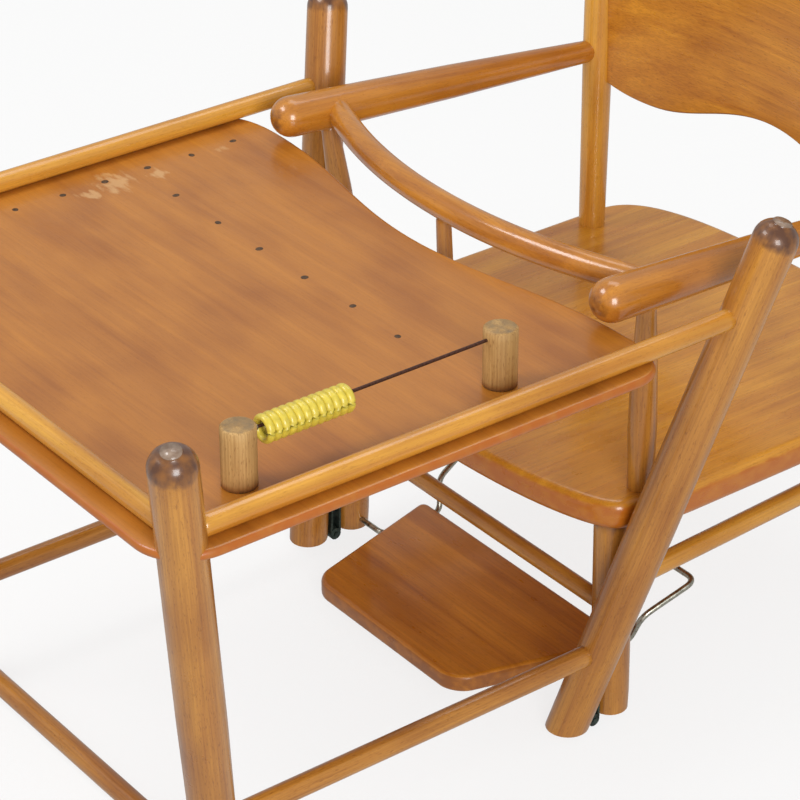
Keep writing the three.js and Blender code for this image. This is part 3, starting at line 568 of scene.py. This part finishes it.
def with_tree(name, carrier, tree, values):
    """Runs a Geometry Nodes tree on the carrier with these values for its named inputs."""
    modifier = carrier.modifiers.new("shape", "NODES")
    modifier.node_group = tree
    for key, value in values.items():
        identifier = next(i.identifier for i in tree.interface.items_tree if i.name == key)
        modifier[identifier] = value
    return baked(name, carrier)


def empty_mesh(name):
    made = bpy.data.objects.new(name, bpy.data.meshes.new(name))
    bpy.context.scene.collection.objects.link(made)
    return made


def row_tree():
    """A straight row of low round heads, each a little different."""
    tree = bpy.data.node_groups.new("head_row", "GeometryNodeTree")
    tree.interface.new_socket(name="Geometry", in_out="OUTPUT", socket_type="NodeSocketGeometry")
    for name, kind, default in (
        ("Count", "NodeSocketInt", 6),
        ("Start", "NodeSocketVector", (0, 0, 0)),
        ("Step", "NodeSocketVector", (0, 0, 0)),
        ("Head Radius", "NodeSocketFloat", 0.0026),
        ("Head Height", "NodeSocketFloat", 0.0005),
        ("Wander", "NodeSocketFloat", 0.001),
    ):
        group_input(tree, name, kind, default)
    tree.interface.new_socket(name="Material", in_out="INPUT", socket_type="NodeSocketMaterial")
    given = tree.nodes.new("NodeGroupInput").outputs
    line = add_node(
        tree,
        "GeometryNodeMeshLine",
        links={"Count": given["Count"], "Start Location": given["Start"], "Offset": given["Step"]},
    )
    wander = add_node(tree, "ShaderNodeVectorMath", {0: (1, 1, 0)}, operation="SCALE")
    tree.links.new(given["Wander"], wander.inputs["Scale"])
    luck = add_node(
        tree,
        "FunctionNodeRandomValue",
        {"Min": (-1, -1, 0), "Max": (1, 1, 0), "Seed": 5},
        data_type="FLOAT_VECTOR",
    )
    shift = add_node(
        tree, "ShaderNodeVectorMath", links={0: luck.outputs[0], 1: wander.outputs[0]}, operation="MULTIPLY"
    )
    moved = add_node(
        tree, "GeometryNodeSetPosition", links={"Geometry": line.outputs[0], "Offset": shift.outputs[0]}
    )
    ball = add_node(tree, "GeometryNodeMeshUVSphere", {"Segments": 16, "Rings": 8, "Radius": 1.0})
    flat = add_node(
        tree,
        "ShaderNodeCombineXYZ",
        links={"X": given["Head Radius"], "Y": given["Head Radius"], "Z": given["Head Height"]},
    )
    head = add_node(
        tree, "GeometryNodeTransform", links={"Geometry": ball.outputs[0], "Scale": flat.outputs[0]}
    )
    size = add_node(
        tree,
        "FunctionNodeRandomValue",
        {"Min": (0.8, 0.8, 1), "Max": (1.15, 1.15, 1), "Seed": 8},
        data_type="FLOAT_VECTOR",
    )
    placed = add_node(
        tree,
        "GeometryNodeInstanceOnPoints",
        links={"Points": moved.outputs[0], "Instance": head.outputs[0], "Scale": size.outputs[0]},
    )
    solid = add_node(tree, "GeometryNodeRealizeInstances", links={0: placed.outputs[0]})
    painted = add_node(
        tree, "GeometryNodeSetMaterial", links={"Geometry": solid.outputs[0], "Material": given["Material"]}
    )
    add_node(tree, "NodeGroupOutput", links={"Geometry": painted.outputs[0]})
    return tree


def plain_material(
    name, colour, roughness, metallic=0.0, mottle=0.15, mottle_mm=4.0, coat=0.0, coat_roughness=0.1
):
    """One finish with soft mottling in its colour and gloss, on a scale given in millimetres."""
    material, tree = new_material(name)
    place = add_node(tree, "ShaderNodeTexCoord").outputs["Object"]
    spots = add_node(
        tree, "ShaderNodeTexNoise", {"Scale": 1000 / mottle_mm, "Detail": 4.0}, {"Vector": place}
    ).outputs["Fac"]
    tones = add_node(tree, "ShaderNodeValToRGB", links={"Fac": spots})
    shade = [max(0.0, c * (1 - 2.2 * mottle)) for c in linear(colour)[:3]] + [1.0]
    tint = [min(1.0, c * (1 + mottle)) for c in linear(colour)[:3]] + [1.0]
    for element, (position, tone) in zip(tones.color_ramp.elements, ((0.3, shade), (0.7, tint))):
        element.position, element.color = position, tone
    gloss = add_node(
        tree,
        "ShaderNodeMapRange",
        {"From Min": 0.3, "From Max": 0.7, "To Min": roughness * 0.8, "To Max": min(1.0, roughness * 1.3)},
        {"Value": spots},
    )
    bump = add_node(tree, "ShaderNodeBump", {"Strength": 0.2, "Distance": 0.0003}, {"Height": spots})
    shader = add_node(
        tree,
        "ShaderNodeBsdfPrincipled",
        {"Metallic": metallic, "Coat Weight": coat, "Coat Roughness": coat_roughness},
        {"Base Color": tones.outputs["Color"], "Roughness": gloss.outputs[0], "Normal": bump.outputs[0]},
    )
    surface(tree, shader)
    return material


head_row = row_tree()
# Iron gone brown and dull under the varnish.
nail_iron = plain_material("dull_nail_iron", "#5E4630", 0.55, 0.3, 0.3, 2.0)
nail_count = 6
cross_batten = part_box("tray_batten_cross")
far_start, far_step = -19 * MM, -37 * MM
cross_start, cross_step = -151 * MM, 52 * MM
nail_rows = {
    "far": ((far_line, far_start, board_high.z), (0, far_step, 0)),
    "cross": ((cross_start, sum(v.y for v in cross_batten) / 2, board_high.z), (cross_step, 0, 0)),
}
for label, (start, step) in nail_rows.items():
    nails = with_tree(
        f"tray_nails_{label}",
        empty_mesh(f"nails_{label}"),
        head_row,
        {"Count": nail_count, "Start": start, "Step": step, "Material": nail_iron},
    )
    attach(nails, "table")

# ---- Bead pegs ----
# Two short pegs of bare beech glued into the tray, grey with handling, their top edges chamfered.
# Unvarnished, so it is pale, grey and without gloss.
bare_beech = varnished_beech("bare_beech", "#CCA468", "#AC844C", "#7C6A50", 1.2, 0.62, 0.0)


def peg_stations(outline):
    """The peg above the board: foot, sides a little uneven, chamfer and flat top."""
    top = outline[-1][0]
    radius = max(r for a, r in outline)
    foot = top - 41 * MM
    chamfer = 1.3 * MM
    rows = [(foot, radius)]
    for i in range(1, 9):
        uneven = 1 + 0.006 * math.sin(i * 2.1)  # whittled by eye, not turned true
        rows.append((foot + (top - chamfer - foot) * i / 8, radius * uneven))
    return rows + [(top - 0.35 * chamfer, radius - 0.65 * chamfer), (top, radius - 1.4 * chamfer)]


def peg_patina(place, direction, outline):
    top = outline[-1][0]
    foot = top - 41 * MM

    def amount(point):
        along = (point - place).dot(direction)
        return max(0.0, 1 - (top - along) / (1.5 * MM)) * 0.7 + max(0.0, 1 - (along - foot) / (3 * MM)) * 0.8

    return amount


for label in ("front", "rear"):
    turned_piece(f"bead_peg_{label}", bare_beech, "wood_bare", peg_stations, None, peg_patina)

# ---- Swept pieces ----
# The bead wire, beads, guard bow and footrest wire each keep one section along one path.


def swept_tree():
    """An elliptical section carried along a curve, with closed ends."""
    tree = bpy.data.node_groups.new("swept_section", "GeometryNodeTree")
    tree.interface.new_socket(name="Geometry", in_out="OUTPUT", socket_type="NodeSocketGeometry")
    tree.interface.new_socket(name="Geometry", in_out="INPUT", socket_type="NodeSocketGeometry")
    for name, kind, default in (
        ("Half Width", "NodeSocketFloat", 0.002),
        ("Half Height", "NodeSocketFloat", 0.002),
        ("Corners", "NodeSocketInt", 16),
    ):
        group_input(tree, name, kind, default)
    tree.interface.new_socket(name="Material", in_out="INPUT", socket_type="NodeSocketMaterial")
    given = tree.nodes.new("NodeGroupInput").outputs
    circle = add_node(
        tree, "GeometryNodeCurvePrimitiveCircle", {"Radius": 1.0}, {"Resolution": given["Corners"]}
    )
    size = add_node(
        tree, "ShaderNodeCombineXYZ", {"Z": 1.0}, {"X": given["Half Width"], "Y": given["Half Height"]}
    )
    section = add_node(
        tree, "GeometryNodeTransform", links={"Geometry": circle.outputs[0], "Scale": size.outputs[0]}
    )
    body = add_node(
        tree,
        "GeometryNodeCurveToMesh",
        {"Fill Caps": True},
        {"Curve": given["Geometry"], "Profile Curve": section.outputs[0]},
    )
    painted = add_node(
        tree, "GeometryNodeSetMaterial", links={"Geometry": body.outputs[0], "Material": given["Material"]}
    )
    add_node(tree, "NodeGroupOutput", links={"Geometry": painted.outputs[0]})
    return tree


swept_section = swept_tree()


def swept(name, points, half_width, half_height, material, closed=False, corners=16):
    curve = bpy.data.curves.new(name, "CURVE")
    curve.dimensions = "3D"
    curve.twist_mode = "Z_UP"
    spline = curve.splines.new("POLY")
    spline.points.add(len(points) - 1)
    for point, place in zip(spline.points, points):
        point.co = (*place, 1)
    spline.use_cyclic_u = closed
    carrier = bpy.data.objects.new(name + "_path", curve)
    bpy.context.scene.collection.objects.link(carrier)
    sizes = {"Half Width": half_width, "Half Height": half_height, "Corners": corners, "Material": material}
    return with_tree(name, carrier, swept_section, sizes)


# ---- Bead wire ----
# A thin iron wire gone brown, driven into both pegs, with a bright stop crimped on at its front end.
# Browned iron has a low, brownish shine; the stop is clean steel and glints.
wire_iron = plain_material("browned_wire", "#5A3A2E", 0.45, 0.7, 0.25, 1.5)
stop_steel = plain_material("wire_stop_steel", "#A8A294", 0.3, 1.0, 0.2, 1.0)
wire_low, wire_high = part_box("bead_wire")
wire_x, wire_z = (wire_low.x + wire_high.x) / 2, (wire_low.z + wire_high.z) / 2
wire_radius = 1.15 * MM
wire_sag = 0.24 * MM
wire_points = []
for i in range(25):
    share = i / 24
    sag = wire_sag * 4 * share * (1 - share)
    wire_points.append((wire_x, wire_low.y + (wire_high.y - wire_low.y) * share, wire_z - sag))
finish_piece(
    swept("bead_wire_iron", wire_points, wire_radius, wire_radius, wire_iron, corners=12),
    wire_iron,
    "wire_dark",
    "bead_wire",
)
peg_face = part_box("bead_peg_front")[1].y
stop = swept(
    "bead_wire_stop",
    [(wire_x, peg_face + t * MM, wire_z) for t in (0.1, 0.5, 1.6, 2.0)],
    1.9 * MM,
    1.9 * MM,
    stop_steel,
    corners=16,
)
stop.data.polygons.foreach_set("use_smooth", [True] * len(stop.data.polygons))
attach(stop, "table")

# ---- Beads ----
# Twelve turned wooden rings in glossy yellow lacquer, hanging side by side on the wire.
# Lacquer over turned wood: one flat, cheerful yellow with a soft highlight.
bead_lacquer = plain_material("yellow_bead_lacquer", "#DCC648", 0.34, 0.0, 0.08, 3.0, 0.35, 0.15)
bead_luck = random.Random(11)
for node in sorted(n for n in frame["nodes"] if n[:5] == "bead_" and n[5:].isdigit()):
    low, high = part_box(node)
    centre = (low + high) / 2
    bead_radius = (high.x - low.x) / 2
    hole = 4.6 * MM
    thickness = (high.y - low.y) / 2 * 0.97
    ring = (bead_radius + hole) / 2
    lean = bead_luck.uniform(-0.02, 0.02)
    path = []
    for i in range(48):
        turn = 2 * math.pi * i / 48
        out, up = ring * math.cos(turn), ring * math.sin(turn)
        path.append((centre.x + out, centre.y + lean * up, centre.z + up))
    ring_mesh = swept(node + "_ring", path, (bead_radius - hole) / 2, thickness, bead_lacquer, True, 20)
    finish_piece(ring_mesh, bead_lacquer, "bead_yellow", node)

# ---- Seat ----
# A thick seat of boards glued side to side, fibre running front to back, its edge rounded over with painted
# shade of a deep orange below the top face; drawn in at the front corners so that the table legs pass.
seat_low, seat_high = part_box("seat")
leg_low, leg_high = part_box("table_hinge_leg_left")
leg_share = (seat_low.z - leg_low.z) / (leg_high.z - leg_low.z)
leg_radius = 16 * MM
leg_y = leg_low.y + leg_radius + (leg_high.y - leg_low.y - 2 * leg_radius) * leg_share
leg_x = leg_low.x + leg_radius + (leg_high.x - leg_low.x - 2 * leg_radius) * leg_share
seat_wide = seat_high.x
seat_neck = leg_x - leg_radius - 0.5 * MM
seat_round = 62 * MM
front_pull = 17 * MM
seat = slab(
    "seat_wood",
    even_outline(
        [
            (0, seat_low.y),
            (seat_neck / 2, seat_low.y, seat_neck - MM, seat_low.y + front_pull, seat_neck, leg_y),
            (
                seat_neck + MM,
                leg_y + 16 * MM,
                seat_wide,
                leg_y + leg_radius + 7 * MM,
                seat_wide,
                leg_y + 2 * leg_radius + 19 * MM,
            ),
            (seat_wide, seat_high.y - seat_round),
            (seat_wide, seat_high.y - seat_round / 5, seat_wide * 0.64, seat_high.y, 0, seat_high.y),
        ],
        28,
    ),
    rounded_edge(seat_low.z, seat_high.z, 8 * MM, 7 * MM, 8),
)
# Lighter and glossier than the tray, with painted shade of a deep orange round its edge and underside.
seat_beech = varnished_beech("varnished_seat_board", "#DA982E", "#C68024", "#B46416", 0.7, 0.28, 0.4)


def seat_painted_shade(point):
    # Painted shade: none on the top face, full from 5 mm below it, so the rounded edge and underside go
    # darker.
    return min(1.0, max(0.0, (seat_high.z - point.z) / (5 * MM)))


give_grain(seat, (0, 1, 0), seat_painted_shade)
finish_piece(seat, seat_beech, "board_wood", "seat")

# ---- Chair legs and stretchers ----
# Four turned legs under the seat, the rear pair raked back, tied by four thin stretchers.
for side in ("left", "right"):
    front_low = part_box(f"chair_front_leg_{side}")[0].z
    turned_piece(f"chair_front_leg_{side}", leg_beech, "turned_wood", leg_stations, front_low, leg_patina)
    turned_piece(f"chair_rear_leg_{side}", leg_beech, "turned_wood", leg_stations, 0.0, leg_patina)
for node in ("chair_stretcher_front", "chair_stretcher_rear"):
    turned_piece(node, leg_beech, "turned_wood")
for node in ("chair_stretcher_left", "chair_stretcher_right"):
    turned_piece(node, rail_beech, "turned_wood")

# ---- Arms and posts ----
# The arms are turned thick at the front, where a round knob is dark and glossy with handling, and taper
# back into the tall posts. Short turned posts carry them.
# Handled more than any other piece: the clearest gloss, and dark at the knobs.
arm_beech = varnished_beech("varnished_arm", "#D08A2E", "#B67224", "#5E3418", 0.7, 0.24, 0.6)


def arm_stations(outline):
    """The arm with a full round knob."""
    tip = outline[0][0]
    radius = max(r for a, r in outline)
    knob = []
    for i in range(11):
        turn = math.pi / 2 * i / 10
        knob.append((tip + radius * (1 - math.cos(turn)), max(0.6 * MM, radius * math.sin(turn))))
    return knob + [s for s in resampled(outline) if s[0] > tip + radius * 1.05]


def arm_patina(place, direction, outline):
    tip = outline[0][0]

    def amount(point):
        return 0.8 * max(0.0, 1 - ((point - place).dot(direction) - tip) / (9 * MM))

    return amount


post_dome = 9 * MM
post_radius = 11.2 * MM
post_top_flat = 0.15  # share of the radius


def post_stations(outline):
    """A back post with its round top."""
    top = outline[-1][0]
    body = resampled([s for s in outline if s[0] < top - post_dome - 0.5 * MM])
    turns = [math.pi / 2 * i / 8 for i in range(9)]
    return body + [
        (top - post_dome + post_dome * math.sin(t), post_radius * max(post_top_flat, math.cos(t)))
        for t in turns
    ]


for side in ("left", "right"):
    turned_piece(f"arm_{side}", arm_beech, "turned_wood", arm_stations, None, arm_patina)
    turned_piece(f"arm_post_{side}", leg_beech, "turned_wood")
    turned_piece(f"back_post_{side}", rail_beech, "turned_wood", post_stations)

# ---- Guard bow and crotch post ----
# A steam-bent bow joins the arms in front of the child, over a short post from the seat.
bow_low, bow_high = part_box("guard_bow")
bow_half_height = (bow_high.z - bow_low.z) / 2
bow_half_depth = 9.4 * MM
bow_front = bow_low.y + bow_half_depth
short, long = 0.1, 3.0
for _ in range(50):
    bow_radius = (short + long) / 2
    back = bow_front + bow_radius - math.sqrt((bow_radius - bow_half_depth) ** 2 - bow_high.x**2)
    short, long = (short, bow_radius) if back < bow_high.y else (bow_radius, long)
bow_reach = bow_high.x + 1 * MM
bow_turn = math.asin(bow_reach / bow_radius)
bow_z = (bow_low.z + bow_high.z) / 2
bow_points = []
for i in range(49):
    turn = bow_turn * (2 * i / 48 - 1)
    bow_points.append((bow_radius * math.sin(turn), bow_front + bow_radius * (1 - math.cos(turn)), bow_z))
bow = swept("guard_bow_wood", bow_points, bow_half_depth, bow_half_height, arm_beech, corners=32)
give_grain(bow, (1, 0, 0))
finish_piece(bow, arm_beech, "turned_wood", "guard_bow")
turned_piece("crotch_post", leg_beech, "turned_wood")

# ---- Backrest ----
# Thin bent plywood let into grooves in the posts, fibre running side to side, its lower edge cut in two
# lobes and an arch.
# A rotary-cut face veneer, so its figure is broad and runs from post to post.
ply_beech = varnished_beech("varnished_bent_ply", "#D8922A", "#C07A20", "#8E5A26", 0.9, 0.3, 0.3)
back_low, back_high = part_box("backrest")
ply_half = 3 * MM
reach = back_high.x
bend = back_high.y - back_low.y - 2 * ply_half
bend_radius = (reach**2 + bend**2) / (2 * bend)
lobe_inset = 50 * MM
arch_rise = 23.5 * MM
end_rise = 15.5 * MM
end_drop = 18 * MM
lobe_x = reach - lobe_inset


def bezier(points, t):
    a, b, c, d = points
    return a * (1 - t) ** 3 + b * 3 * t * (1 - t) ** 2 + c * 3 * t * t * (1 - t) + d * t**3


def edge_height(x, curves):
    """The height of an edge drawn by curves in (x, z), at |x|."""
    x = abs(x)
    for curve in curves:
        if x <= curve[3][0] + 1e-9:
            short, long = 0.0, 1.0
            for _ in range(40):
                t = (short + long) / 2
                short, long = (t, long) if bezier([p[0] for p in curve], t) < x else (short, t)
            return bezier([p[1] for p in curve], (short + long) / 2)
    return curves[-1][3][1]


lobe_z, arch_z = back_low.z, back_low.z + arch_rise
top_z, end_z = back_high.z, back_low.z + end_rise
edge_end = reach + 5 * MM
lower_edge = [
    [(0, arch_z), (lobe_x * 0.4, arch_z), (lobe_x * 0.7, lobe_z), (lobe_x, lobe_z)],
    [(lobe_x, lobe_z), (lobe_x + 18 * MM, lobe_z), (edge_end - 14 * MM, lobe_z + 4 * MM), (edge_end, end_z)],
]
upper_edge = [
    [
        (0, top_z),
        (edge_end * 0.35, top_z),
        (edge_end * 0.6, top_z - end_drop + 4 * MM),
        (edge_end, top_z - end_drop),
    ],
]
vertices, faces = [], []
columns, section = 80, 24
for i in range(columns + 1):
    x = reach * (2 * i / columns - 1)
    turn = math.asin(x / bend_radius)
    outward = Vector((math.sin(turn), math.cos(turn), 0))
    middle = Vector((0, back_high.y - ply_half - bend_radius, 0)) + outward * bend_radius
    low_z, high_z = edge_height(x, lower_edge), edge_height(x, upper_edge)
    ring = []
    for k in range(section // 2 + 1):
        spin = math.pi * k / (section // 2)
        ring.append((-math.cos(spin) * ply_half, high_z - ply_half * 0.7 * (1 - math.sin(spin))))
    for k in range(section // 2 + 1):
        spin = math.pi * k / (section // 2)
        ring.append((math.cos(spin) * ply_half, low_z + ply_half * 0.7 * (1 - math.sin(spin))))
    for off, z in ring:
        vertices.append((middle.x + outward.x * off, middle.y + outward.y * off, z))
size = len(ring)
for i in range(columns):
    for k in range(size):
        m = (k + 1) % size
        faces.append((i * size + k, i * size + m, (i + 1) * size + m, (i + 1) * size + k))
faces.append(tuple(range(size))[::-1])
faces.append(tuple(range(columns * size, (columns + 1) * size)))
panel = mesh_object("backrest_ply", vertices, faces)
work = bmesh.new()
work.from_mesh(panel.data)
bmesh.ops.recalc_face_normals(work, faces=work.faces)
work.to_mesh(panel.data)
work.free()


def ply_patina(point):
    low_gap = point.z - edge_height(point.x, lower_edge)
    high_gap = edge_height(point.x, upper_edge) - point.z
    return 0.9 if min(low_gap, high_gap) < 1.6 * MM else 0.0


give_grain(panel, (1, 0, 0), ply_patina)
finish_piece(panel, ply_beech, "board_wood", "backrest")

# ---- Footrest ----
# A small board on a bent wire that turns in the front legs; the wire's rear bar is its counterweight.
foot_low, foot_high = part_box("footrest_board")
foot_taper = 35 * MM
front_wide = foot_high.x - foot_taper
slant = Vector((foot_taper, foot_high.y - foot_low.y)).normalized()
front_cut, rear_cut = 17 * MM, 8 * MM
corner = Vector((front_wide, foot_low.y))
rear_corner = Vector((foot_high.x + 1.4 * MM, foot_high.y))
front_in = corner - Vector((front_cut, 0))
front_out = corner + slant * front_cut
rear_in = rear_corner - slant * rear_cut
rear_out = rear_corner - Vector((rear_cut, 0))


def corner_curve(start, point, end):
    """A rounded corner as one curve stretch, after a straight run to its start."""
    a, b = start + (point - start) * (1 - arc_pull), end + (point - end) * (1 - arc_pull)
    return [(start.x, start.y), (a.x, a.y, b.x, b.y, end.x, end.y)]


foot_board = slab(
    "footrest_board_wood",
    even_outline(
        [(0, foot_low.y)]
        + corner_curve(front_in, corner, front_out)
        + corner_curve(rear_in, rear_corner, rear_out)
        + [(0, foot_high.y)]
    ),
    rounded_edge(foot_low.z, foot_high.z, 3 * MM, 3.5 * MM),
)
# A reddish, even amber, browner along its worn edge.
foot_beech = varnished_beech("varnished_footrest_board", "#DE922A", "#C67A20", "#9A5A1E", 0.7, 0.32, 0.3)
give_grain(foot_board, (1, 0, 0), lambda p: 0.9 if p.z < foot_high.z - 1.2 * MM else 0.0)
finish_piece(foot_board, foot_beech, "board_wood", "footrest_board")

wire_low, wire_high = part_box("footrest_wire")
# Nickel plate with its shine broken up by scratches.
nickel = plain_material("worn_nickel_wire", "#B8B6A8", 0.28, 1.0, 0.18, 3.0)
foot_wire_radius = 2.3 * MM
axle_y = wire_low.y + foot_wire_radius * math.cos(math.pi / 6)
axle_z = 14 * MM
arm_x = foot_high.x - 7.6 * MM
bar_z, bar_y = wire_high.z - 2.1 * MM, wire_high.y - 2.1 * MM
bar_x = arm_x + 17 * MM
bend_cut = 9 * MM
half_wire = [
    Vector((wire_high.x, axle_y, axle_z)),
    Vector((arm_x, axle_y, axle_z)),
    Vector((arm_x, foot_high.y + bend_cut + MM, axle_z)),
    Vector((arm_x + 8.5 * MM, foot_high.y + bend_cut + 5 * MM, 38 * MM)),
    Vector((bar_x, bar_y, bar_z)),
]
mirrored_wire = [Vector((-p.x, p.y, p.z)) for p in reversed(half_wire)]


def bent(points, cut, per_bend=8):
    """The path with each corner rounded by a curve that starts `cut` before it."""
    path = [points[0]]
    for before, here, after in zip(points, points[1:], points[2:]):
        start = here + (before - here).normalized() * cut
        end = here + (after - here).normalized() * cut
        for i in range(per_bend + 1):
            t = i / per_bend
            path.append(start * (1 - t) ** 2 + here * 2 * t * (1 - t) + end * t * t)
    return path + [points[-1]]


foot_path = bent(half_wire + mirrored_wire, bend_cut)
foot_wire = swept("footrest_wire_nickel", foot_path, foot_wire_radius, foot_wire_radius, nickel)
finish_piece(foot_wire, nickel, "wire_bright", "footrest_wire")

# ---- Hinges ----
# Stamped iron butt hinges at the foot of each leg pair, their green-grey paint worn. Their leaves and
# pins keep the shape they have in the solid model.
# Green-grey paint with iron showing through.
hinge_iron = plain_material("worn_hinge_paint", "#3E4A42", 0.5, 0.6, 0.35, 3.0)
for node, made in frame["nodes"].items():
    if node.startswith("hinge_"):
        made.data.materials.clear()
        made.data.materials.append(hinge_iron)

bpy.context.view_layer.update()
